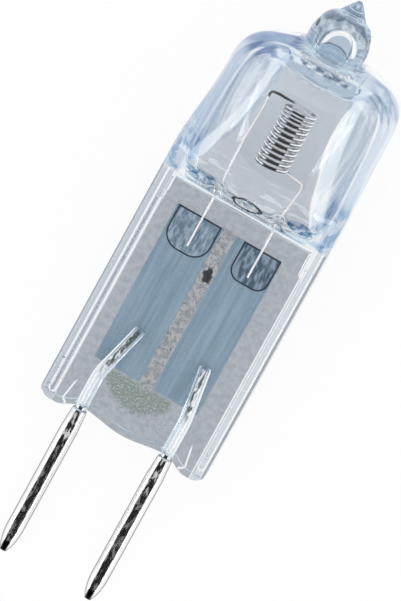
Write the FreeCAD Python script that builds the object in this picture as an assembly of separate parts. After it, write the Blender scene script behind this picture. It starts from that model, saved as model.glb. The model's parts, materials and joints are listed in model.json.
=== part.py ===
import FreeCAD, Part
import math
import os

V = FreeCAD.Vector

# A low-voltage capsule lamp, drawn upright and laid down on its back at the end.
# Upright, X runs across the flat pinch, Y through it with the front towards -Y, and Z up
# along the axis of the pins, from the feet of the pinch. Lengths are in millimetres.

# Pinch: the flat end of the glass, squeezed shut round the foils
pinch_width = 12.12
pinch_thickness = 3.40
panel_thickness = 2.40
pinch_top_z = 17.40
pinch_foot_width = 1.30
pinch_foot_radius = 0.85
pin_notch_rise = 0.62
belly_rise = 0.25

# Rails: the thick borders that the press leaves at both sides of the panel
rail_width = 0.66
rail_head_width = 0.91
rail_head_z = 15.60
rail_foot_z = 0.45
rail_edge_radius = 0.45

# Bulb: the round part of the tube, with its blown crown
bulb_diameter = 11.54
bulb_wall = 1.12
bulb_offset = 0.15
neck_top_z = 25.60
dome_start_z = 26.10
knuckle_radius = 2.70
knuckle_steps = 4
crown_slope = 18.0
crown_wall = 1.30
inner_knuckle_radius = 1.90

# Neck: where the round tube goes over into the flat pinch
neck_side_angle = 13.0
neck_corner_angle = 12.0
neck_lip = 0.25
neck_steps = 6
neck_shoulder = 0.27
neck_shoulder_reach = 0.028
neck_slope_bias = 1.1
neck_hold = 0.21
cavity_floor_z = 18.00
cavity_floor_width = 8.86
cavity_floor_depth = 2.40
cavity_lip = 0.45
cavity_lag = 0.06
cavity_steps = 4

# Exhaust tip: the bead and the point where the filling tube was melted off
bead_diameter = 4.10
bead_belly_z = 29.90
bead_waist_diameter = 3.56
bead_waist_z = 31.10
point_base_diameter = 2.00
point_end_diameter = 0.24
tip_z = 33.10
exhaust_bore_diameter = 1.90
exhaust_bore_z = 31.00

# Contact pins: sleeves crimped on the lead wires
pin_spacing = 6.35
pin_diameter = 1.25
pin_end_z = -10.90
pin_nose_length = 1.60
pin_nose_middle_diameter = 1.08
pin_nose_end_diameter = 0.50
collar_top_diameter = 1.06
collar_foot_diameter = 1.19
collar_length = 1.27
collar_step = 0.15
collar_chamfer = 0.15
collar_gap = 0.50
pin_bore_depth = 3.00

# Lead wires, in the channels that they left in the glass
lead_diameter = 0.70
lead_channel_gap = 0.11
lead_bend_z = 3.00
lead_bend_radius = 4.00
lead_end_z = 6.80
lead_end_x = {"left": -2.20, "right": 2.66}

# Sealing foils, and the weld tabs on their fronts
foil_width = 3.35
foil_thickness = 0.05
foil_bottom_z = 3.70
foil_top_z = 15.50
foil_x = {"left": -2.29, "right": 1.97}
tab_thickness = 0.06
tab_width = {"left": 3.12, "right": 2.71}
tab_height = {"left": 2.80, "right": 2.62}
tab_straight_side = 1.25
tab_x = {"left": -2.34, "right": 2.26}
weld_gap = 0.01

# Filament: one wire, wound into a coil and bent down to both foils
wire_diameter = 0.20
wire_flats = 6
coil_diameter = 2.19
coil_turns = 12
coil_pitch = 0.366
coil_bottom_z = 20.50
turn_steps = 10
bend_steps = 4
leg_top_x = {"left": -2.60, "right": 2.24}
leg_x = {"left": -2.30, "right": 1.97}
leg_bottom_z = {"left": 13.35, "right": 13.50}
leg_bend_radius = {"left": 0.25, "right": 0.35}
leg_entry_rise = 0.45

sides = {"left": -1, "right": 1}
half_width = pinch_width / 2
half_thickness = pinch_thickness / 2
half_panel = panel_thickness / 2
bulb_radius = bulb_diameter / 2
cavity_radius = bulb_radius - bulb_wall
bead_radius = bead_diameter / 2
exhaust_bore_radius = exhaust_bore_diameter / 2
pin_x = pin_spacing / 2
pin_radius = pin_diameter / 2
pin_nose_z = pin_end_z + pin_nose_length
collar_top_z = pin_notch_rise - collar_gap
lead_radius = lead_diameter / 2
channel_radius = lead_radius + lead_channel_gap
wire_radius = wire_diameter / 2
coil_radius = (coil_diameter - wire_diameter) / 2
coil_top_z = coil_bottom_z + coil_turns * coil_pitch

# The foils lie just behind the lead wires, with the tabs and the filament's legs before them.
foil_front_y = lead_radius + weld_gap
tab_front_y = foil_front_y - tab_thickness
leg_y = tab_front_y - weld_gap - wire_radius


def mix(start, end, share):
    return start + (end - start) * share


def line(start, end):
    return Part.LineSegment(start, end).toShape()


def arc(start, middle, end):
    return Part.Arc(start, middle, end).toShape()


def revolve(profile, centre_x=0.0):
    """A turned solid about the vertical line at centre_x, from half its section in XZ."""
    face = Part.Face(Part.Wire(profile))
    face.translate(V(centre_x, 0, 0))
    return face.revolve(V(centre_x, 0, 0), V(0, 0, 1), 360)


def turned(corners):
    """A solid turned about Z from the corners of half its section in XZ."""
    return revolve(Part.makePolygon(corners + corners[:1]).Edges)


def raised(outline, thickness):
    """A plate with this closed outline in XZ, with its thickness to both sides of y = 0."""
    face = Part.Face(Part.Wire(outline))
    face.translate(V(0, -thickness / 2, 0))
    return face.extrude(V(0, thickness, 0))


def bent_path(start, corner, end, radius):
    """Two straight edges with a tangent arc between them, in place of the corner."""
    back = (start - corner).normalize()
    ahead = (end - corner).normalize()
    half_turn = (math.pi - back.getAngle(ahead)) / 2
    reach = radius * math.tan(half_turn)
    inward = radius / math.cos(half_turn) - radius
    middle = corner + (back + ahead).normalize() * inward
    bend_start = corner + back * reach
    bend_end = corner + ahead * reach
    return [line(start, bend_start), arc(bend_start, middle, bend_end), line(bend_end, end)]


def round_bar(edges, radius):
    """A bar of round section along a row of edges."""
    first = edges[0]
    direction = first.tangentAt(first.FirstParameter)
    section = Part.Wire(Part.makeCircle(radius, first.Vertexes[0].Point, direction))
    return Part.Wire(edges).makePipeShell([section], True, False)


def front_outline():
    """The front outline of the pinch: square at the top, two feet, and a belly between the pins."""
    foot_x = half_width - pinch_foot_width
    toe_x = half_width - pinch_foot_radius
    slant = pinch_foot_radius * (1 - math.sqrt(0.5))
    left_top = V(-half_width, 0, pinch_top_z)
    right_top = V(half_width, 0, pinch_top_z)
    left_side = V(-half_width, 0, pinch_foot_radius)
    right_side = V(half_width, 0, pinch_foot_radius)
    under = [V(-foot_x, 0, 0), V(-pin_x, 0, pin_notch_rise), V(0, 0, belly_rise)]
    under += [V(pin_x, 0, pin_notch_rise), V(foot_x, 0, 0)]
    lower_edge = Part.BSplineCurve()
    lower_edge.interpolate(Points=under, InitialTangent=V(1, 0, 0), FinalTangent=V(1, 0, 0))
    return [
        line(left_top, left_side),
        arc(left_side, V(slant - half_width, 0, slant), V(-toe_x, 0, 0)),
        line(V(-toe_x, 0, 0), V(-foot_x, 0, 0)),
        lower_edge.toShape(),
        line(V(foot_x, 0, 0), V(toe_x, 0, 0)),
        arc(V(toe_x, 0, 0), V(half_width - slant, 0, slant), right_side),
        line(right_side, right_top),
        line(right_top, left_top),
    ]


def recess():
    """What the press takes off the front: all but the rails, which end in round feet."""
    foot_radius = rail_width / 2
    foot_z = rail_foot_z + foot_radius
    inner = half_width - rail_width
    head = half_width - rail_head_width
    centre = half_width - foot_radius
    outline = [line(V(-head, 0, pinch_top_z), V(head, 0, pinch_top_z))]
    for side in (-1, 1):
        outline += [
            line(V(side * head, 0, pinch_top_z), V(side * head, 0, rail_head_z)),
            line(V(side * head, 0, rail_head_z), V(side * inner, 0, rail_head_z)),
            line(V(side * inner, 0, rail_head_z), V(side * inner, 0, foot_z)),
            arc(
                V(side * inner, 0, foot_z),
                V(side * centre, 0, rail_foot_z),
                V(side * half_width, 0, foot_z),
            ),
            line(V(side * half_width, 0, foot_z), V(side * half_width, 0, -pinch_foot_radius)),
        ]
    low = -pinch_foot_radius
    outline.append(line(V(-half_width, 0, low), V(half_width, 0, low)))
    face = Part.Face(Part.Wire(Part.__sortEdges__(outline)))
    return face.extrude(V(0, pinch_thickness, 0))


def pinch():
    """A rounded slab, cut to the front outline and recessed between the rails on both faces."""
    slab = Part.Face(neck_section(0, -pinch_foot_radius))
    slab = slab.extrude(V(0, 0, pinch_top_z + pinch_foot_radius))
    slab = slab.common(raised(front_outline(), pinch_thickness))
    back = recess()
    back.translate(V(0, half_panel, 0))
    front = recess()
    front.translate(V(0, -half_panel - pinch_thickness, 0))
    return slab.cut([front, back])


def neck_shares():
    """The neck's sections, as shares of its height that lie closer together near the pinch."""
    return [(i / neck_steps) ** 2 for i in range(neck_steps + 1)]


def shoulder(share):
    """How far the tube has opened in depth at this share of the neck's height.

    It opens quickly over a short shoulder above the pinch, then along a slow slope.
    """
    quick = 1 - math.exp(-share / neck_shoulder_reach)
    slow = math.sin(math.pi / 2 * share) ** neck_slope_bias
    return mix(slow, quick, neck_shoulder)


def narrowing(share):
    """How far the neck's width has come from the pinch's to the bulb's, late on the way up."""
    late = max(share - neck_hold, 0) / (1 - neck_hold)
    return late * late * (3 - 2 * late)


def neck_outline(share):
    """Sixteen points round the neck: the ends and middles of its four sides and four corners.

    The outline is the rails' rounded rectangle where share is 0 and the bulb's circle at 1.
    """
    drawn_in = narrowing(share)
    opened = shoulder(share)
    slant = rail_edge_radius * (1 - math.sqrt(0.5))
    flat_x = half_width - rail_edge_radius
    flat_y = half_thickness - rail_edge_radius
    corner_middle = neck_side_angle + neck_corner_angle / 2
    corner_end = neck_side_angle + neck_corner_angle
    quarter = [
        (half_width, 0, 0),
        (half_width, flat_y, neck_side_angle),
        (half_width - slant, half_thickness - slant, corner_middle),
        (flat_x, half_thickness, corner_end),
        (0, half_thickness, 90),
    ]
    round_the_neck = [
        (1, 1, quarter),
        (-1, 1, quarter[3::-1]),
        (-1, -1, quarter[1:]),
        (1, -1, quarter[3:0:-1]),
    ]
    points = []
    for side_x, side_y, stretch in round_the_neck:
        for x, y, angle in stretch:
            round_x = bulb_offset + side_x * bulb_radius * math.cos(math.radians(angle))
            round_y = side_y * bulb_radius * math.sin(math.radians(angle))
            points.append((mix(side_x * x, round_x, drawn_in), mix(side_y * y, round_y, opened)))
    return points


def neck_section(share, z):
    """The neck's outline at one height, as eight arcs or lines."""
    points = [V(x, y, z) for x, y in neck_outline(share)]
    edges = []
    for i in range(-1, len(points) - 1, 2):
        start, middle, end = points[i], points[i + 1], points[(i + 2) % len(points)]
        straight = (end - start).cross(middle - start).Length < 1e-9
        edges.append(line(start, end) if straight else arc(start, middle, end))
    return Part.Wire(edges)


def neck():
    """The flattened stretch of the tube, in short bands with a straight lip at both ends."""
    start_z = pinch_top_z + neck_lip
    sections = [neck_section(0, pinch_top_z)]
    for share in neck_shares():
        sections.append(neck_section(share, mix(start_z, neck_top_z, share)))
    sections.append(neck_section(1, neck_top_z + neck_lip))
    return Part.makeLoft(sections, True, True)


def dome_rise(radius, knuckle):
    """The height of a dome's top above the end of its straight wall."""
    slope = math.radians(crown_slope)
    crown_reach = radius - knuckle + knuckle * math.sin(slope)
    return knuckle * math.cos(slope) + crown_reach * math.tan(slope)


def knuckle_point(radius, knuckle, start_z, share):
    """A point on a dome's knuckle, from the end of the wall at share 0 to the crown at 1."""
    turn = math.radians(90 - crown_slope) * share
    reach = radius - knuckle + knuckle * math.cos(turn)
    return V(reach, 0, start_z + knuckle * math.sin(turn))


def domed_tube(radius, knuckle, bottom_z, start_z):
    """A round bar from bottom_z that closes above start_z: a knuckle, then a gently sloping crown.

    The knuckle's curve is made of short flats.
    """
    shares = [i / knuckle_steps for i in range(knuckle_steps + 1)]
    bend = [knuckle_point(radius, knuckle, start_z, share) for share in shares]
    bottom = V(0, 0, bottom_z)
    top = V(0, 0, start_z + dome_rise(radius, knuckle))
    outline = [line(bottom, V(radius, 0, bottom_z)), line(V(radius, 0, bottom_z), bend[0])]
    outline += Part.makePolygon(bend).Edges
    outline += [line(bend[-1], top), line(top, bottom)]
    return revolve(outline, bulb_offset)


def bulb():
    return domed_tube(bulb_radius, knuckle_radius, neck_top_z + neck_lip, dome_start_z)


def exhaust_tip():
    """The melted bead on the crown, with a sharp point drawn out of it."""
    base_radius = point_base_diameter / 2
    bend = bead_waist_diameter / 2 - base_radius
    slant = bend * math.sqrt(0.5)
    root_z = cavity_top_z()
    corners = [
        V(0, 0, root_z),
        V(bead_radius, 0, root_z),
        V(bead_radius, 0, bead_belly_z),
        V(base_radius + bend, 0, bead_waist_z),
        V(base_radius + slant, 0, bead_waist_z + slant),
        V(base_radius, 0, bead_waist_z + bend),
        V(point_end_diameter / 2, 0, tip_z),
        V(0, 0, tip_z),
    ]
    return turned(corners)


def cavity_top_z():
    return dome_start_z + dome_rise(bulb_radius, knuckle_radius) - crown_wall


def cavity():
    """The gas space: a flattened tube in the neck, a domed tube in the bulb, and the bore."""
    start_z = pinch_top_z + neck_lip
    floor_x = cavity_floor_width / 2
    floor_y = cavity_floor_depth / 2
    sections = [oval(V(0, 0, cavity_floor_z), floor_x, floor_y)]
    for i in range(cavity_steps + 1):
        rise = i / cavity_steps
        height = mix(cavity_floor_z + cavity_lip, neck_top_z, rise)
        share = (height - start_z) / (neck_top_z - start_z)
        opened = shoulder(share) - cavity_lag * (1 - rise)
        reach_x = mix(floor_x, cavity_radius, opened)
        reach_y = mix(floor_y, cavity_radius, opened)
        sections.append(oval(V(bulb_offset * narrowing(share), 0, height), reach_x, reach_y))
    flattened = Part.makeLoft(sections, True, True)
    wall_top_z = cavity_top_z() - dome_rise(cavity_radius, inner_knuckle_radius)
    blown = domed_tube(cavity_radius, inner_knuckle_radius, neck_top_z, wall_top_z)
    return flattened.fuse([blown, exhaust_bore(wall_top_z)])


def oval(centre, reach_x, reach_y):
    """A closed oval in XY, which is a circle where both reaches are equal."""
    if abs(reach_x - reach_y) < 1e-9:
        return Part.Wire(Part.makeCircle(reach_x, centre))
    return Part.Wire(Part.Ellipse(centre, reach_x, reach_y).toShape())


def exhaust_bore(bottom_z):
    """What is left of the filling tube's bore, closed by a pointed end."""
    radius = exhaust_bore_radius
    straight_top = V(radius, 0, exhaust_bore_z - radius)
    return turned(
        [V(0, 0, bottom_z), V(radius, 0, bottom_z), straight_top, V(0, 0, exhaust_bore_z)]
    )


def lead_path(side, bottom_z, beyond=0.0):
    """A lead wire's middle line: up from bottom_z, then leaning in to its end on the foil."""
    x = sides[side] * pin_x
    bend = V(x, 0, lead_bend_z)
    end = V(lead_end_x[side], 0, lead_end_z)
    end = end + (end - bend).normalize() * beyond
    return bent_path(V(x, 0, bottom_z), bend, end, lead_bend_radius)


def lead_wire(side):
    return round_bar(lead_path(side, collar_top_z - pin_bore_depth), lead_radius)


def lead_channel(side):
    """The space round a lead wire in the glass, which shrank less than the wire."""
    return round_bar(lead_path(side, collar_top_z, lead_channel_gap), channel_radius)


def foil(side):
    width = V(foil_width, 0, 0)
    low = V(foil_x[side] - foil_width / 2, foil_front_y, foil_bottom_z)
    height = V(0, 0, foil_top_z - foil_bottom_z)
    outline = Part.makePolygon([low, low + width, low + width + height, low + height, low])
    return Part.Face(outline).extrude(V(0, foil_thickness, 0))


def weld_tab(side):
    """A D-shaped scrap of foil, straight at the top, under the end of the filament's leg."""
    reach = tab_width[side] / 2
    x = tab_x[side]
    low_z = foil_top_z - tab_height[side]
    side_z = foil_top_z - tab_straight_side
    left_top = V(x - reach, tab_front_y, foil_top_z)
    right_top = V(x + reach, tab_front_y, foil_top_z)
    left_side = V(x - reach, tab_front_y, side_z)
    right_side = V(x + reach, tab_front_y, side_z)
    outline = [
        line(left_top, right_top),
        line(right_top, right_side),
        arc(right_side, V(x, tab_front_y, low_z), left_side),
        line(left_side, left_top),
    ]
    return Part.Face(Part.Wire(outline)).extrude(V(0, tab_thickness, 0))


def coil_points():
    """Points along the winding, from the bottom up, which starts and ends at the back."""
    points = []
    for i in range(coil_turns * turn_steps + 1):
        turns = i / turn_steps
        angle = 2 * math.pi * (turns + 0.25)
        x = coil_radius * math.cos(angle)
        y = coil_radius * math.sin(angle)
        points.append(V(x, y, coil_bottom_z + turns * coil_pitch))
    return points


def leg_points(side):
    """Points down one leg: off the coil along its last turn, round a bend, then to the foil."""
    slope = coil_pitch / (2 * math.pi * coil_radius)
    start_z = coil_top_z if side == "left" else coil_bottom_z
    bend_z = start_z - sides[side] * abs(leg_top_x[side]) * slope
    bend = V(leg_top_x[side], coil_radius, bend_z)
    entry = V(leg_x[side], leg_y, cavity_floor_z + leg_entry_rise)
    bottom = V(leg_x[side], leg_y, leg_bottom_z[side])
    path = bent_path(V(0, coil_radius, start_z), bend, entry, leg_bend_radius[side])
    return path[1].discretize(bend_steps + 1) + [entry, bottom]


def filament_path():
    """The whole filament as short straight hops, from one foil through the coil to the other."""
    return leg_points("right")[::-1] + coil_points() + leg_points("left")


def filament():
    """One wire, drawn with a few flats in place of its round section."""
    points = filament_path()
    corners = []
    for i in range(wire_flats + 1):
        angle = 2 * math.pi * (i + 0.5) / wire_flats
        corners.append(points[0] + V(math.cos(angle), math.sin(angle), 0) * wire_radius)
    shell = Part.BRepOffsetAPI.MakePipeShell(Part.makePolygon(points))
    shell.setTransitionMode(1)
    shell.add(Part.makePolygon(corners))
    shell.build()
    shell.makeSolid()
    return shell.shape()


def glass_envelope(sealed):
    """The quartz body, blown and pinched from one tube, less its gas space and what it seals."""
    body = pinch().fuse([neck(), bulb(), exhaust_tip()]).removeSplitter()
    spaces = [cavity(), lead_channel("left"), lead_channel("right")]
    return body.cut(spaces + sealed)


def nose_profile():
    """Half the outline of a pin's nose, in the plane of its own axis."""
    return [
        V(pin_radius, 0, pin_nose_z),
        V(pin_nose_middle_diameter / 2, 0, mix(pin_end_z, pin_nose_z, 0.5)),
        V(pin_nose_end_diameter / 2, 0, pin_end_z),
    ]


def contact_pin(side):
    """A turned sleeve with a tapered, bevelled collar, a pointed end and a bore for the lead."""
    collar_radius = collar_top_diameter / 2
    collar_foot_z = collar_top_z - collar_length
    bore_z = collar_top_z - pin_bore_depth
    corners = [
        V(lead_radius, 0, collar_top_z),
        V(collar_radius - collar_chamfer, 0, collar_top_z),
        V(collar_radius, 0, collar_top_z - collar_chamfer),
        V(collar_foot_diameter / 2, 0, collar_foot_z),
        V(pin_radius, 0, collar_foot_z - collar_step),
    ]
    corners += nose_profile()
    corners += [V(0, 0, pin_end_z), V(0, 0, bore_z), V(lead_radius, 0, bore_z)]
    pin = turned(corners)
    pin.translate(V(sides[side] * pin_x, 0, 0))
    return pin


def rest_tilt():
    """The tilt, in degrees, at which the noses and the bulb's shoulder reach the floor together."""
    noses = [(point.x, point.z) for point in nose_profile()]
    bulge = []
    for share in neck_shares():
        depth = mix(half_thickness, bulb_radius, shoulder(share))
        bulge.append((depth, mix(pinch_top_z + neck_lip, neck_top_z, share)))

    def lowest(profile, tilt):
        return min(z * math.sin(tilt) - depth * math.cos(tilt) for depth, z in profile)

    flat, steep = 0.0, math.pi / 4
    for _ in range(60):
        tilt = (flat + steep) / 2
        if lowest(bulge, tilt) < lowest(noses, tilt):
            flat = tilt
        else:
            steep = tilt
    return math.degrees(flat)


def lay_down(pieces):
    """Turns the upright lamp on its back and puts the middle of its footprint at the origin."""
    turn = rest_tilt() - 90
    for shape in pieces.values():
        shape.rotate(V(0, 0, 0), V(1, 0, 0), turn)
    box = Part.Compound(list(pieces.values())).optimalBoundingBox()
    middle = V(box.Center.x, box.Center.y, box.ZMin)
    for shape in pieces.values():
        shape.translate(middle * -1)


def build():
    pieces = {"filament": filament()}
    for side in sides:
        pieces["foil_" + side] = foil(side)
        pieces["weld_tab_" + side] = weld_tab(side)
    pieces["glass_envelope"] = glass_envelope(list(pieces.values()))
    for side in sides:
        pieces["lead_wire_" + side] = lead_wire(side)
        pieces["contact_pin_" + side] = contact_pin(side)
    lay_down(pieces)
    return pieces


os.makedirs("parts", exist_ok=True)
for name, shape in build().items():
    print(name, "solids", len(shape.Solids), "volume", round(shape.Volume, 4), shape.isValid())
    shape.exportStep(os.path.join("parts", name + ".step"))
print("rest tilt", round(rest_tilt(), 3))
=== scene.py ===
# %% [markdown]
# # A low-voltage capsule lamp
#
# The lamp is a short quartz tube. Its top is blown into a round bulb and closed with a melted
# tip, its foot is pinched flat round two thin foils, and two plated pins stand out of the foot.
# Almost all that is seen of it is light bent by the glass, so this lesson spends most of its
# cells on the two skins of the glass, outside and inside, and on the room that they show.

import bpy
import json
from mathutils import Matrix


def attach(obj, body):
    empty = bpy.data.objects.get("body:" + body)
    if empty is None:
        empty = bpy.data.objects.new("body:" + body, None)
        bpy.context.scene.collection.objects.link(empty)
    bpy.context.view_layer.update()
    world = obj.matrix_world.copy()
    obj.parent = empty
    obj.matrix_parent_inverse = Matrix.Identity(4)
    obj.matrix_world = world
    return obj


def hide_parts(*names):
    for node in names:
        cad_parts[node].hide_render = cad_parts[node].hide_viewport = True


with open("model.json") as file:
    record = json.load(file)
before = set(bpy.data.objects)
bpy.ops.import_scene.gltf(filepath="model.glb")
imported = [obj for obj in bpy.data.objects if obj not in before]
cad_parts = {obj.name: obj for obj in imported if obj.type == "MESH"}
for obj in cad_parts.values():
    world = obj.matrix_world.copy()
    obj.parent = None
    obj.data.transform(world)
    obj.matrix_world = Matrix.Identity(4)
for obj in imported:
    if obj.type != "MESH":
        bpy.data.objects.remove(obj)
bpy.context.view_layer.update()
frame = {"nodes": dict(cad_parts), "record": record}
print("pieces in the frame:", ", ".join(sorted(frame["nodes"])))

# %% Tools
import json
import math

import bpy
from mathutils import Matrix, Vector

print("Blender", bpy.app.version_string)

# %% [markdown]
# ## Where the lamp lies
#
# The lamp rests on its back, tilted up a little from the pins to the bulb. It is easier to draw
# upright, so every piece is modelled in millimetres with X across the pinch, Y through it and Z
# up from the pinch's feet. One matrix then lays a finished piece down. The two pin mounts in the
# record give that matrix: their axis, and a point 5.3 mm below the feet on each of them.

# %% The lamp's own axes
mount_z = -5.3
mounts = {mount["name"]: mount for mount in frame["record"]["mounts"]}
pin_middles = [Vector(mounts[name]["pos_m"]) for name in ("pin_left", "pin_right")]
up = -Vector(mounts["pin_left"]["axis"]).normalized()
across = Vector((1, 0, 0))
through = up.cross(across)
feet = (pin_middles[0] + pin_middles[1]) / 2 - up * mount_z * 0.001
turn = Matrix((across, through, up)).transposed()
lean = turn.to_euler()
lay_down = Matrix.Translation(feet) @ turn.to_4x4() @ Matrix.Scale(0.001, 4)
print("the lamp's feet are at", [round(c * 1000, 2) for c in feet], "mm")


# %% Small helpers
def pick(*pieces):
    """Select these objects and nothing else, with the first one active."""
    bpy.ops.object.select_all(action="DESELECT")
    for piece in pieces:
        piece.select_set(True)
    bpy.context.view_layer.objects.active = pieces[0]


def mix(start, end, share):
    return start + (end - start) * share


def ease(share):
    """0 to 1 with a soft start and a soft end."""
    share = min(max(share, 0.0), 1.0)
    return share * share * (3 - 2 * share)


def finish_piece(piece, name, slot, *nodes):
    """Lay a piece down, make it ride on the lamp, and let it stand for its CAD nodes."""
    piece.name = name
    piece.data.name = name
    piece.matrix_world = lay_down @ piece.matrix_world
    pick(piece)
    bpy.ops.object.transform_apply(location=True, rotation=True, scale=True)
    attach(piece, "root")
    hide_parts(*nodes)
    print(name, "has", len(piece.data.polygons), "faces")

# %% [markdown]
# ## The camera
#
# A long lens looks down on the lamp from above its front, so lines that are parallel stay
# parallel. The bulb leans about 18 degrees towards the camera, the lamp is turned 3 degrees about
# its own axis, and its axis leans 29 degrees to the right in the picture. The picture's middle is
# measured from the tip of the bulb.

# %% The view
dome_lean = math.radians(17.7)
side_turn = math.radians(3.2)
picture_lean = math.radians(28.9)
to_camera = (
    across * math.sin(side_turn) * math.cos(dome_lean)
    + up * math.sin(dome_lean)
    - through * math.cos(side_turn) * math.cos(dome_lean)
).normalized()
lamp_up = (up - to_camera * up.dot(to_camera)).normalized()
lamp_right = lamp_up.cross(to_camera)
picture_up = lamp_up * math.cos(picture_lean) - lamp_right * math.sin(picture_lean)
picture_right = lamp_right * math.cos(picture_lean) + lamp_up * math.sin(picture_lean)
tip = feet + up * 0.0331
tip_right = 0.01019
tip_above = 0.01898
middle = tip - picture_right * tip_right - picture_up * tip_above
print("middle of the picture:", [round(c * 1000, 2) for c in middle], "mm")

# %% The lens
camera_distance = 0.6
picture_height = 0.03816
sensor = 36
bpy.ops.object.camera_add()
camera = bpy.context.object
camera.name = "camera"
camera.matrix_world = Matrix.Translation(middle + to_camera * camera_distance) @ (
    Matrix((picture_right, picture_up, to_camera)).transposed().to_4x4()
)
camera.data.sensor_width = sensor
camera.data.lens = sensor * camera_distance / picture_height
camera.data.clip_start = 0.01
camera.data.clip_end = 10
bpy.context.scene.camera = camera
print("lens", round(camera.data.lens), "mm")

# %% [markdown]
# ## Short words for shader nodes
#
# A shader is a net of small sums, and each takes four lines when it is written out. So these
# helpers add nodes to the net that is being made, whose `nodes` and `links` are set just
# before. Most marks on this lamp are a mask, from 0 to 1, that paints one colour over another.


# %% Sums, masks and colours
def tell(operation, first, second=None):
    """A Math node with numbers or sockets as its inputs; gives its output."""
    node = nodes.new("ShaderNodeMath")
    node.operation = operation
    for socket, value in zip(node.inputs, (first, second)):
        if isinstance(value, (int, float)):
            socket.default_value = value
        elif value is not None:
            links.new(value, socket)
    return node.outputs[0]


def plus(first, second):
    return tell("ADD", first, second)


def minus(first, second):
    return tell("SUBTRACT", first, second)


def times(first, second):
    return tell("MULTIPLY", first, second)


def step(value, low, high):
    """0 where value is low, 1 where it is high, with a soft step between."""
    node = nodes.new("ShaderNodeMapRange")
    node.interpolation_type = "SMOOTHSTEP"
    node.inputs["From Min"].default_value = low
    node.inputs["From Max"].default_value = high
    links.new(value, node.inputs["Value"])
    return node.outputs["Result"]


def near(value, middle, inside, outside):
    """1 where value is close to middle."""
    return step(tell("ABSOLUTE", minus(value, middle)), outside, inside)


def both(*masks):
    """Where all of these masks are."""
    result = masks[0]
    for mask in masks[1:]:
        result = times(result, mask)
    return result


def paint(mask, under, over):
    """One colour where the mask is 0 and the other where it is 1."""
    node = nodes.new("ShaderNodeMix")
    node.data_type = "RGBA"
    links.new(mask, node.inputs["Factor"])
    for socket, value in ((node.inputs["A"], under), (node.inputs["B"], over)):
        if isinstance(value, tuple):
            socket.default_value = (*value, 1)
        else:
            links.new(value, socket)
    return node.outputs["Result"]


def blended(factor, first, second, output, socket):
    """Mix two shaders and lead them to an output's socket."""
    node = nodes.new("ShaderNodeMixShader")
    links.new(factor, node.inputs[0])
    links.new(first.outputs[0], node.inputs[1])
    links.new(second.outputs[0], node.inputs[2])
    if output:
        links.new(node.outputs[0], output.inputs[socket])
    return node


def mark(mask, over):
    """Paint over the colour so far where the mask is."""
    global colour
    colour = paint(mask, colour, over)


def wear(colour):
    """Give the finish that is being made this colour."""
    links.new(colour, shader.inputs["Base Color"])


print("a mask of 1 shows the second colour, and of 0 the first")

# %% [markdown]
# ## The room
#
# The lamp lies on white in a white room, so colours render about as they are written. The floor
# glows white where the camera, a reflection or the glass shows it, with a little matt paper left
# in it for the lamp's shadow; for all other light it is paper. Two low soft boxes stand at the
# lamp's sides: their light grazes the flat pinch but draws bright lines on every round edge. A
# dark card far above stands for the dark end of the room behind the camera. Round metal shows
# it as a dark line down its middle.

# %% The white world
bpy.context.scene.view_settings.view_transform = "Standard"
world = bpy.data.worlds.new("white room")
bpy.context.scene.world = world
world.use_nodes = True
white_light = world.node_tree.nodes["Background"]
white_light.inputs["Color"].default_value = (1, 1, 1, 1)
white_light.inputs["Strength"].default_value = 1.0
print("world:", world.name)


# %% The floor
def seen_directly():
    """1 for rays from the camera, off gloss or through glass, 0 for diffuse and shadow rays."""
    path = nodes.new("ShaderNodeLightPath").outputs
    camera_or_gloss = tell("MAXIMUM", path["Is Camera Ray"], path["Is Glossy Ray"])
    return tell("MAXIMUM", camera_or_gloss, path["Is Transmission Ray"])


floor_size = 3
floor_glow = 0.93
paper_white = 0.9
paper = bpy.data.materials.new("white paper")
paper.use_nodes = True
nodes, links = paper.node_tree.nodes, paper.node_tree.links
nodes.clear()
matt = nodes.new("ShaderNodeBsdfDiffuse")
matt.inputs["Color"].default_value = (paper_white, paper_white, paper_white, 1)
glow = nodes.new("ShaderNodeEmission")
glow.inputs["Strength"].default_value = 1.0
glow_share = times(seen_directly(), floor_glow)
blended(glow_share, matt, glow, nodes.new("ShaderNodeOutputMaterial"), "Surface")

bpy.ops.mesh.primitive_plane_add(size=floor_size, location=(0, 0, 0))
floor = bpy.context.object
floor.name = "floor"
floor.data.materials.append(paper)
print("floor:", floor_size, "m square")

# %% The dark card behind the camera
card_distance = 0.95
card_width = 1.85
card_length = 2.2
card_black = 0.01
mirror_way = to_camera - up * 2 * to_camera.dot(up)
card_side = up.cross(mirror_way).normalized()
black = bpy.data.materials.new("black card")
black.use_nodes = True
card_shader = black.node_tree.nodes["Principled BSDF"]
card_shader.inputs["Base Color"].default_value = (card_black, card_black, card_black, 1)
card_shader.inputs["Roughness"].default_value = 1.0
bpy.ops.mesh.primitive_plane_add(size=1)
card = bpy.context.object
card.name = "dark_card"
card.matrix_world = Matrix.Translation(mirror_way * card_distance) @ (
    Matrix((card_side, mirror_way.cross(card_side), mirror_way)).transposed().to_4x4()
) @ Matrix.Diagonal((card_width, card_length, 1, 1))
card.data.materials.append(black)
card.visible_diffuse = card.visible_shadow = False
card.visible_camera = card.visible_transmission = False
print("card:", card_width, "by", card_length, "m")

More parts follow.
